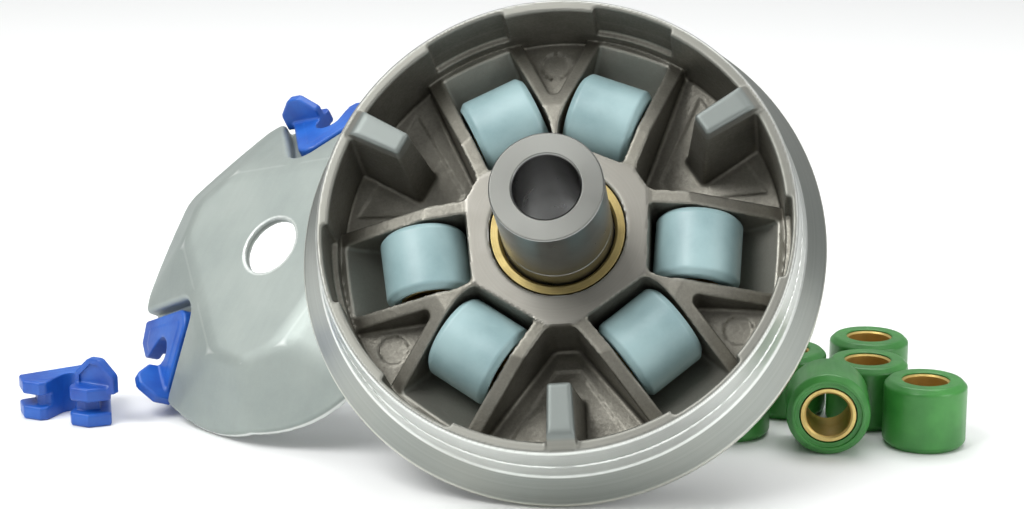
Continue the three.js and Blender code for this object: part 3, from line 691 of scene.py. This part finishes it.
# ------------------------------------------------------------------ materials
class Finish:
    """A node material built up step by step. Its textures work in mm of the piece's own axes."""

    def __init__(self, name, **surface):
        self.material = bpy.data.materials.new(name)
        self.material.use_nodes = True
        self.tree = self.material.node_tree
        self.surface = self.tree.nodes["Principled BSDF"]
        self.place = self.add("ShaderNodeAttribute", attribute_name="own").outputs["Vector"]
        self.set(**surface)

    def add(self, kind, values=None, **settings):
        node = self.tree.nodes.new(kind)
        for key, value in settings.items():
            setattr(node, key, value)
        for key, value in (values or {}).items():
            self.feed(node.inputs[key], value)
        return node

    def feed(self, socket, value):
        if isinstance(value, bpy.types.NodeSocket):
            self.tree.links.new(value, socket)
        else:
            socket.default_value = value

    def set(self, **surface):
        for key, value in surface.items():
            self.feed(self.surface.inputs[key.replace("_", " ")], value)

    def math(self, operation, a, b=0.0):
        return self.add("ShaderNodeMath", {0: a, 1: b}, operation=operation).outputs[0]

    def noise(self, scale, detail=4.0, roughness=0.5, stretch=(1, 1, 1), place=None):
        place = self.place if place is None else place
        if stretch != (1, 1, 1):
            stretched = self.add("ShaderNodeVectorMath", {0: place, 1: stretch}, operation="MULTIPLY")
            place = stretched.outputs[0]
        values = {"Vector": place, "Scale": scale, "Detail": detail, "Roughness": roughness}
        return self.add("ShaderNodeTexNoise", values).outputs[0]

    def range(self, value, low, high, to_low, to_high):
        values = {0: value, 1: low, 2: high, 3: to_low, 4: to_high}
        return self.add("ShaderNodeMapRange", values).outputs[0]

    def attribute(self, name):
        return self.add("ShaderNodeAttribute", attribute_name=name).outputs["Fac"]

    def mix(self, share, a, b, blend="MIX"):
        node = self.add("ShaderNodeMix", data_type="RGBA", blend_type=blend)
        self.feed(node.inputs["Factor"], share)
        self.feed(node.inputs[6], a)
        self.feed(node.inputs[7], b)
        return node.outputs[2]

    def radius(self):
        flat = self.add("ShaderNodeVectorMath", {0: self.place, 1: (1, 1, 0)}, operation="MULTIPLY")
        return self.add("ShaderNodeVectorMath", {0: flat.outputs[0]}, operation="LENGTH").outputs["Value"]

    def height(self):
        return self.add("ShaderNodeSeparateXYZ", {0: self.place}).outputs[2]

    def polar(self):
        """Radius and height of the point, as a vector with no angle in it."""
        return self.add("ShaderNodeCombineXYZ", {0: self.radius(), 2: self.height()}).outputs[0]

    def blend(self, share, a, b):
        """A number that goes from a to b."""
        return self.range(share, 0, 1, a, b)

    def bump(self, height, distance, strength=1.0, below=None):
        values = {"Height": height, "Distance": distance * MM, "Strength": strength}
        if below is not None:
            values["Normal"] = below
        normal = self.add("ShaderNodeBump", values).outputs[0]
        self.set(Normal=normal)
        return normal


def colour(r, g, b):
    """A linear colour from 0-255 display values."""
    def linear(value):
        share = value / 255
        return share / 12.92 if share <= 0.04045 else ((share + 0.055) / 1.055) ** 2.4
    return (linear(r), linear(g), linear(b), 1.0)


def cast_surface(f):
    """Colour, roughness and height (mm) of bare die-cast aluminium, with painted shade in its corners and
    edges lightened by wear and a painted highlight.
    """
    clouds = f.noise(0.07, 5, 0.6)
    grain = f.noise(1.6, 6, 0.65)
    tone = f.mix(f.range(clouds, 0.35, 0.65, 0, 1), colour(116, 114, 105), colour(136, 134, 125))
    tone = f.mix(f.range(grain, 0.3, 0.7, 0, 0.4), tone, colour(103, 100, 92))
    # Painted shade: corners and crevices are darkened as if shade fell in them.
    tone = f.mix(f.range(f.attribute("crevice"), 0.2, 0.8, 0, 0.4), tone, colour(74, 70, 62))
    # Edges lighter: partly edge wear, partly a painted highlight.
    tone = f.mix(f.range(f.attribute("edge"), 0.15, 0.5, 0, 0.25), tone, colour(160, 159, 150))
    tone = f.mix(f.math("MULTIPLY", f.attribute("ramp"), 0.75), tone, colour(166, 165, 156))
    lumps = f.math("MULTIPLY", f.noise(0.5, 5, 0.6), 0.09)
    height = f.math("ADD", lumps, f.math("MULTIPLY", grain, 0.035))
    return tone, f.range(grain, 0.3, 0.7, 0.4, 0.56), height


def turned_surface(f):
    """The bright rim with fine turning lines. Its zones carry painted light: a painted reflection
    brightens the turned zone above the shoulder and the outer cylinder, and painted shade dims the slope
    below the shoulder and the back.
    """
    rings = f.noise(3.5, 4, 0.7, place=f.polar())
    bands = f.noise(0.35, 3, 0.5, place=f.polar())
    stains = f.noise(0.05, 4, 0.5)
    # Painted shade: the slope below the shoulder is toned darker than the turned zone above it.
    flange_with_painted_light = f.mix(f.range(rings, 0.3, 0.7, 0, 1), colour(142, 146, 141), colour(156, 160, 155))
    # Painted reflection: the outer cylinder is painted almost white.
    rim_painted_reflection = f.range(f.height(), FLANGE_TOP - 0.35, FLANGE_TOP, 1, 0)
    flange_with_painted_light = f.mix(rim_painted_reflection, flange_with_painted_light, colour(222, 222, 212))
    # Painted reflection: the turned zone above the shoulder is painted bright.
    band_painted_bright = f.mix(f.range(rings, 0.3, 0.7, 0, 1), colour(212, 215, 211), colour(230, 233, 229))
    tone = f.mix(f.range(f.height(), SHOULDER_Z - 0.3, SHOULDER_Z, 0, 1), flange_with_painted_light, band_painted_bright)
    # Painted shade: the back is toned darker.
    back = f.mix(f.range(rings, 0.35, 0.65, 0, 1), colour(128, 130, 127), colour(150, 152, 149))
    tone = f.mix(f.range(f.height(), FLANGE_BOTTOM - 0.3, FLANGE_BOTTOM, 1, 0), tone, back)
    tone = f.mix(f.range(stains, 0.45, 0.75, 0, 0.3), tone, colour(160, 160, 152))
    return tone, f.range(bands, 0.3, 0.7, 0.26, 0.36), f.math("MULTIPLY", rings, 0.0025)


def lip_surface(f):
    """The lip's flat top and its inner edge, duller than the turned outside."""
    rings = f.noise(2.0, 3, 0.6, place=f.polar())
    tone = f.mix(f.range(rings, 0.3, 0.7, 0, 1), colour(126, 126, 119), colour(138, 138, 131))
    return tone, f.range(rings, 0.3, 0.7, 0.5, 0.56), f.math("MULTIPLY", rings, 0.002)


def milled_surface(f):
    """The faced-off hub and the duller tops of the posts."""
    rings = f.noise(2.6, 3, 0.7, place=f.polar())
    clouds = f.noise(0.12, 4, 0.5)
    tone = f.mix(f.range(rings, 0.3, 0.7, 0, 1), colour(124, 122, 115), colour(134, 132, 125))
    tone = f.mix(f.range(clouds, 0.4, 0.7, 0, 0.4), tone, colour(122, 119, 111))
    on_post = f.range(f.height(), LIP_TOP, LIP_TOP + 1, 0, 1)
    tone = f.mix(on_post, tone, colour(124, 130, 127))
    rough = f.blend(on_post, f.range(clouds, 0.3, 0.7, 0.34, 0.44), 0.54)
    return tone, rough, f.math("MULTIPLY", rings, 0.002)


def pulley_aluminium():
    f = Finish("pulley_aluminium")
    tone, rough, height = cast_surface(f)
    for name, surface in (("turned", turned_surface), ("lip", lip_surface), ("milled", milled_surface)):
        share = f.attribute(name)
        next_tone, next_rough, next_height = surface(f)
        tone = f.mix(share, tone, next_tone)
        rough = f.blend(share, rough, next_rough)
        height = f.blend(share, height, next_height)
    bright = f.math("MULTIPLY", f.attribute("turned"), f.blend(f.attribute("lip"), 1, 0))
    f.set(Base_Color=tone, Roughness=rough, Metallic=f.blend(bright, 0.8, 0.95),
          Anisotropic=f.math("MULTIPLY", f.attribute("turned"), 0.5),
          Tangent=f.add("ShaderNodeAttribute", attribute_name="around").outputs["Vector"])
    f.bump(height, 1.0)
    return f.material


def ground_steel():
    f = Finish("ground_steel", Metallic=1.0)
    rings = f.noise(5.0, 3, 0.7, place=f.polar())
    clouds = f.noise(0.12, 5, 0.55)
    tone = f.mix(f.range(rings, 0.3, 0.7, 0, 1), colour(146, 148, 147), colour(162, 164, 162))
    tone = f.mix(f.range(clouds, 0.45, 0.75, 0, 0.45), tone, colour(128, 127, 123))
    end_face = f.range(f.height(), SPACER_TOP - 0.25, SPACER_TOP - 0.15, 0, 1)
    tone = f.mix(end_face, tone, colour(116, 117, 113))
    # Painted shade: the bore is toned dark inside, where shade falls.
    inside = f.range(f.radius(), SPACER_BORE + 0.1, SPACER_BORE + 0.3, 1, 0)
    tone = f.mix(inside, tone, colour(66, 65, 64))
    f.set(Base_Color=tone, Roughness=f.range(clouds, 0.3, 0.7, 0.26, 0.38), Anisotropic=0.3,
          Tangent=f.add("ShaderNodeAttribute", attribute_name="around").outputs["Vector"])
    f.bump(rings, 0.003, 0.5)
    return f.material


def bronze():
    f = Finish("bronze", Metallic=0.95)
    rings = f.noise(3.0, 3, 0.6, place=f.polar())
    clouds = f.noise(0.25, 4, 0.6)
    tone = f.mix(f.range(rings, 0.3, 0.7, 0, 1), colour(150, 134, 86), colour(170, 153, 104))
    tone = f.mix(f.range(clouds, 0.4, 0.7, 0, 0.5), tone, colour(126, 110, 70))
    f.set(Base_Color=tone, Roughness=f.range(clouds, 0.3, 0.7, 0.3, 0.45))
    f.bump(rings, 0.015, 0.6)
    return f.material


def turned_brass():
    f = Finish("turned_brass", Metallic=0.75)
    rings = f.noise(3.2, 3, 0.7, place=f.polar())
    clouds = f.noise(0.3, 4, 0.6)
    tone = f.mix(f.range(rings, 0.3, 0.7, 0, 1), colour(206, 178, 104), colour(226, 206, 138))
    tone = f.mix(f.range(clouds, 0.45, 0.75, 0, 0.35), tone, colour(172, 120, 44))
    # Painted shade: the sleeve's bore is toned darker inside.
    inside = f.range(f.radius(), SLEEVE_BORE + 0.03, SLEEVE_BORE + 0.2, 1, 0)
    tone = f.mix(f.math("MULTIPLY", inside, 0.5), tone, colour(196, 152, 62))
    f.set(Base_Color=tone, Roughness=f.range(clouds, 0.3, 0.7, 0.3, 0.42))
    f.bump(rings, 0.02, 0.7)
    return f.material


def nylon(name, dark, light, rough, milky):
    """Moulded nylon: cloudy colour, faint flow lines, slightly scuffed and a little translucent."""
    f = Finish(name, IOR=1.52)
    clouds = f.noise(0.09, 4, 0.55)
    flow = f.noise(0.5, 3, 0.5, stretch=(1, 1, 0.15))
    specks = f.noise(2.2, 5, 0.6)
    tone = f.mix(f.range(clouds, 0.35, 0.65, 0, 1), dark, light)
    tone = f.mix(f.range(specks, 0.35, 0.7, 0, 0.12), tone, light)
    f.set(Base_Color=tone, Roughness=f.range(flow, 0.3, 0.7, rough - 0.05, rough + 0.07))
    f.set(Subsurface_Weight=milky, Subsurface_Radius=(0.6, 0.8, 0.9), Subsurface_Scale=1.2 * MM)
    smooth = f.bump(flow, 0.03, 0.5)
    f.bump(specks, 0.012, 0.6, smooth)
    return f.material


def pressed_plate():
    f = Finish("pressed_plate", Metallic=0.6)
    clouds = f.noise(0.045, 5, 0.55)
    satin = f.noise(1.8, 5, 0.65)
    drawn = f.noise(0.5, 4, 0.6, stretch=(1, 0.12, 1))
    tone = f.mix(f.range(clouds, 0.35, 0.65, 0, 1), colour(150, 159, 155), colour(163, 171, 166))
    tone = f.mix(f.range(drawn, 0.4, 0.75, 0, 0.16), tone, colour(138, 144, 139))
    # Painted highlight: ridges, rims and slot edges are painted almost white.
    tone = f.mix(f.range(f.attribute("edge"), 0.14, 0.5, 0, 0.9), tone, colour(236, 239, 236))
    f.set(Base_Color=tone, Roughness=f.range(satin, 0.3, 0.7, 0.46, 0.54))
    wavy = f.bump(f.noise(0.08, 2, 0.4), 0.06, 0.4)
    f.bump(satin, 0.012, 0.7, wavy)
    return f.material


def studio_floor():
    f = Finish("studio_floor", Roughness=0.6)
    clouds = f.noise(0.004, 3, 0.5)
    f.set(Base_Color=f.mix(clouds, colour(238, 239, 238), colour(243, 244, 244)))
    f.bump(f.noise(0.6, 3, 0.5), 0.05, 0.2)
    return f.material


# ------------------------------------------------------------------ where things are
RECORD = frame["record"]


def centre_of(node):
    low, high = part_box(node)
    return np.array((low + high) / 2) / MM


def axes(x, y, z):
    """A rotation whose columns are the three directions."""
    return np.stack([np.array(a, float) / np.linalg.norm(a) for a in (x, y, z)], -1)


def turn_about_z(angle):
    return np.array(Matrix.Rotation(angle, 3, "Z"))


def turn_about_y(angle):
    return np.array(Matrix.Rotation(angle, 3, "Y"))


def put(piece, rotation, place):
    """Stands a piece at a place (mm) with its own axes turned by a rotation.

    The vertices keep their own coordinates and the direction round the piece's axis for the materials.
    """
    mesh = piece.data
    own = own_coordinates(piece)
    around = np.stack([-own[:, 1], own[:, 0], np.zeros(len(own))], -1)
    around /= np.maximum(np.linalg.norm(around, axis=1, keepdims=True), 1e-6)
    for name, vectors in (("own", own), ("around", around @ rotation.T)):
        attribute = mesh.attributes.new(name, "FLOAT_VECTOR", "POINT")
        attribute.data.foreach_set("vector", vectors.astype(np.float32).ravel())
    matrix = Matrix(rotation.tolist()).to_4x4()
    matrix.translation = Vector((place * MM).tolist())
    mesh.transform(matrix)
    mesh.update()


def own_coordinates(piece):
    """Vertex positions in mm, before the piece is put in its place."""
    own = np.empty(len(piece.data.vertices) * 3, np.float32)
    piece.data.vertices.foreach_get("co", own)
    return own.reshape(-1, 3).astype(float) / MM


def finish_piece(piece, body, node, material):
    piece.data.materials.append(material)
    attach(piece, body)
    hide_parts(node)


def pulley_axes():
    """The pulley's rotation and the middle of its hub's flat top."""
    joint = next(j for j in frame["joints"] if j["name"] == "spacer_shift")
    out = np.array(joint["axis"], float)
    out /= np.linalg.norm(out)
    hub = centre_of("spacer") - out * (SPACER_TOP + SPACER_BOTTOM) / 2
    up = (centre_of("roller_1_shell") + centre_of("roller_2_shell")) / 2 - hub
    up -= out * (up @ out)
    return axes(np.cross(up, out), up, out), hub


def plate_axes():
    """The ramp plate's rotation and the middle of its flat top."""
    mount = next(m for m in RECORD["mounts"] if m["name"] == "plate_top_face")
    out = np.array(mount["axis"], float)
    side = np.cross((0, 0, 1), out)
    up = np.cross(out, side)
    rotation = axes(side, up, out)
    return rotation, np.array(mount["pos_m"], float) / MM - PLATE_MOUNT_UP * rotation[:, 1]


# ------------------------------------------------------------------ the set, piece by piece
CASTING = pulley_aluminium()
STEEL, BRONZE, BRASS, PLATE = ground_steel(), bronze(), turned_brass(), pressed_plate()
PALE = nylon("pale_nylon", colour(130, 157, 160), colour(150, 177, 179), 0.42, 0.1)
GREEN = nylon("green_nylon", colour(46, 116, 46), colour(66, 140, 62), 0.33, 0.05)
BLUE = nylon("blue_nylon", colour(14, 62, 150), colour(30, 92, 180), 0.36, 0.03)


def build_pulley():
    rotation, hub = pulley_axes()
    casting, ring, boss = pulley_half("pulley_casting"), bush("hub_ring"), spacer("spacer_boss")
    for piece in (casting, ring, boss):
        put(piece, rotation, hub)
    finish_piece(casting, "pulley", "pulley_half", CASTING)
    finish_piece(ring, "pulley", "hub_bush", BRONZE)
    finish_piece(boss, "spacer", "spacer", STEEL)
    for k in range(6):
        axis = math.radians(90 + 120 * (k // 2)) + (CHANNEL_ANGLE if k % 2 == 0 else -CHANNEL_ANGLE)
        lay = rotation @ turn_about_z(axis) @ np.array(Matrix.Rotation(math.pi / 2, 3, "X"))
        build_roller(f"roller_{k + 1}", lay, PALE)


def build_roller(node, rotation, material):
    shell, sleeve = roller_shell(node + "_nylon"), roller_sleeve(node + "_brass")
    for piece in (shell, sleeve):
        put(piece, rotation, centre_of(node + "_shell"))
    finish_piece(shell, node, node + "_shell", material)
    finish_piece(sleeve, node, node + "_sleeve", BRASS)


def build_plate():
    rotation, centre = plate_axes()
    plate = ramp_plate("ramp_plate_pressing")
    put(plate, rotation, centre)
    finish_piece(plate, "ramp_plate", "ramp_plate", PLATE)
    distance, slope = SLOT_FACET
    for k in range(2):
        guide = guide_mesh(f"slide_guide_{k + 1}_nylon")
        turn = turn_about_z(SLOT_AXES[k])
        tilt = turn_about_y(slope)
        hinge = np.array([distance, 0, 0])
        seat = np.array([GUIDE_PULLED_OUT, 0, -SEAT_DEPTH - PLATE_THICKNESS / 2])
        shift = turn @ (hinge + tilt @ (seat - hinge))
        put(guide, rotation @ turn @ tilt, centre + rotation @ shift)
        finish_piece(guide, "ramp_plate", f"slide_guide_{k + 1}", BLUE)


def build_loose_guide():
    guide = guide_mesh("slide_guide_3_nylon")
    rotation = turn_about_z(LOOSE_HEADING)
    own = own_coordinates(guide) @ rotation.T
    put(guide, rotation, centre_of("slide_guide_3") - (own.min(0) + own.max(0)) / 2)
    finish_piece(guide, "loose_guide", "slide_guide_3", BLUE)


def build_spares():
    for k in range(6):
        node = f"spare_roller_{k + 1}"
        low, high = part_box(node + "_shell")
        size = high - low
        lying = size.z > ROLLER_LENGTH * 1.1 * MM
        rotation = turn_about_z(SPARE_TURN * k)
        if lying:
            rotation = turn_about_z(LYING_HEADING) @ turn_about_y(math.pi / 2)
        build_roller(node, rotation, GREEN)


build_pulley()
build_plate()
build_loose_guide()
build_spares()


# ------------------------------------------------------------------ floor, light and camera
def build_floor():
    side = 4.0
    corners = [(-side, -side, 0), (side, -side, 0), (side, side, 0), (-side, side, 0)]
    mesh = bpy.data.meshes.new("floor")
    mesh.from_pydata(corners, [], [(0, 1, 2, 3)])
    floor = bpy.data.objects.new("floor", mesh)
    mesh.materials.append(studio_floor())
    bpy.context.scene.collection.objects.link(floor)


def soft_light(name, place, target, size, watts):
    data = bpy.data.lights.new(name, "AREA")
    data.shape = "RECTANGLE"
    data.size, data.size_y = size
    data.energy = watts
    lamp = bpy.data.objects.new(name, data)
    lamp.location = place
    lamp.rotation_mode = "QUATERNION"
    lamp.rotation_quaternion = (Vector(target) - Vector(place)).to_track_quat("-Z", "Y")
    bpy.context.scene.collection.objects.link(lamp)


def light_studio():
    world = bpy.data.worlds.new("studio")
    world.use_nodes = True
    tree = world.node_tree
    # The room is dim near the floor and bright overhead, so that metal shows its shape.
    direction = tree.nodes.new("ShaderNodeTexCoord")
    parts = tree.nodes.new("ShaderNodeSeparateXYZ")
    shade = tree.nodes.new("ShaderNodeValToRGB")
    shade.color_ramp.elements[0].position = 0.02
    shade.color_ramp.elements[0].color = (ROOM_LOW, ROOM_LOW + 0.01, ROOM_LOW + 0.01, 1)
    shade.color_ramp.elements[1].position = 0.85
    shade.color_ramp.elements[1].color = (1, 1, 1, 1)
    tree.links.new(direction.outputs["Generated"], parts.inputs[0])
    tree.links.new(parts.outputs[2], shade.inputs[0])
    tree.links.new(shade.outputs[0], tree.nodes["Background"].inputs["Color"])
    tree.nodes["Background"].inputs["Strength"].default_value = ROOM_STRENGTH
    bpy.context.scene.world = world
    bpy.context.scene.view_settings.view_transform = "Standard"
    for name, lamp in LAMPS.items():
        soft_light(name, *lamp)


def place_camera():
    data = bpy.data.cameras.new("camera")
    data.lens = LENS
    data.sensor_width = 36
    data.clip_start, data.clip_end = 0.01, 20
    camera = bpy.data.objects.new("camera", data)
    hub = Vector((pulley_axes()[1] * MM).tolist())
    camera.location = hub + Vector(CAMERA_FROM_HUB) * MM
    camera.rotation_euler = (math.pi / 2 - CAMERA_DOWN, 0, 0)
    bpy.context.scene.collection.objects.link(camera)
    bpy.context.scene.camera = camera


build_floor()
light_studio()
place_camera()
